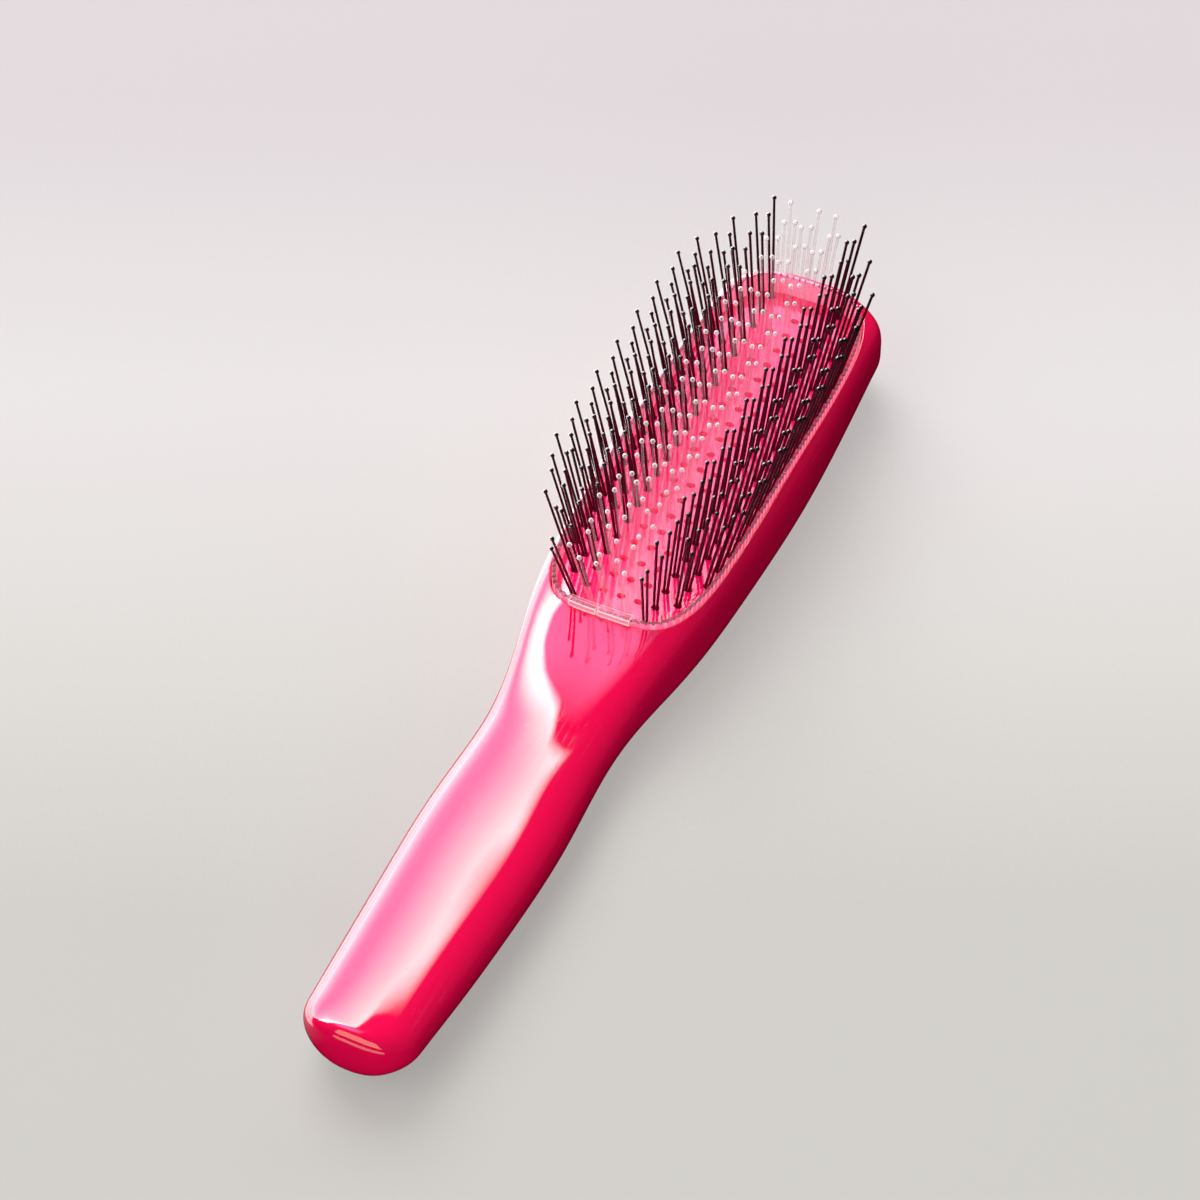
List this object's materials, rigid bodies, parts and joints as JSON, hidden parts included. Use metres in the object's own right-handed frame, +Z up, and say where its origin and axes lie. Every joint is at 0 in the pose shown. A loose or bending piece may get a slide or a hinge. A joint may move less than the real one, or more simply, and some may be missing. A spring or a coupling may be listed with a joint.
{
  "type": "hair grooming brush",
  "caption": "Slim handheld hair brush with a two-part moulded body, a sunk pin plate, ball-tipped nylon pins in black and clear, and a clear strip round the plate.",
  "frame": {"origin": "on the flat of the head's back, on the brush's centre line, where the brush lies on a table", "axes": "+X along the brush to the head's tip, +Y to the left of someone who looks along +X, +Z up through the pins"},
  "size_m": [0.219, 0.0436, 0.0418],
  "materials": {
    "shell_pink": "high gloss moulded plastic, deep pink",
    "carrier_pink": "plain moulded inner board, pink",
    "black_nylon": "smooth black nylon filament with ball tips",
    "clear_nylon": "smooth clear nylon filament with ball tips",
    "clear_vinyl": "soft clear trim strip",
    "wire_steel": "drawn steel wire"
  },
  "bodies": {
    "root": {"front_shell": "shell_pink", "back_shell": "shell_pink", "plate_carrier": "carrier_pink", "clear_pins_left": "clear_nylon", "clear_pins_middle": "clear_nylon", "clear_pins_right": "clear_nylon", "black_pins_left_outer": "black_nylon", "black_pins_left_middle": "black_nylon", "black_pins_left_inner": "black_nylon", "black_pins_right_inner": "black_nylon", "black_pins_right_middle": "black_nylon", "black_pins_right_outer": "black_nylon", "anchor_wire_clear_left": "wire_steel", "anchor_wire_clear_middle": "wire_steel", "anchor_wire_clear_right": "wire_steel", "anchor_wire_black_left_outer": "wire_steel", "anchor_wire_black_left_middle": "wire_steel", "anchor_wire_black_left_inner": "wire_steel", "anchor_wire_black_right_inner": "wire_steel", "anchor_wire_black_right_middle": "wire_steel", "anchor_wire_black_right_outer": "wire_steel", "edge_strip": "clear_vinyl", "strip_sleeve_short": "clear_vinyl", "strip_sleeve_long": "clear_vinyl"}
  },
  "joints": []
}
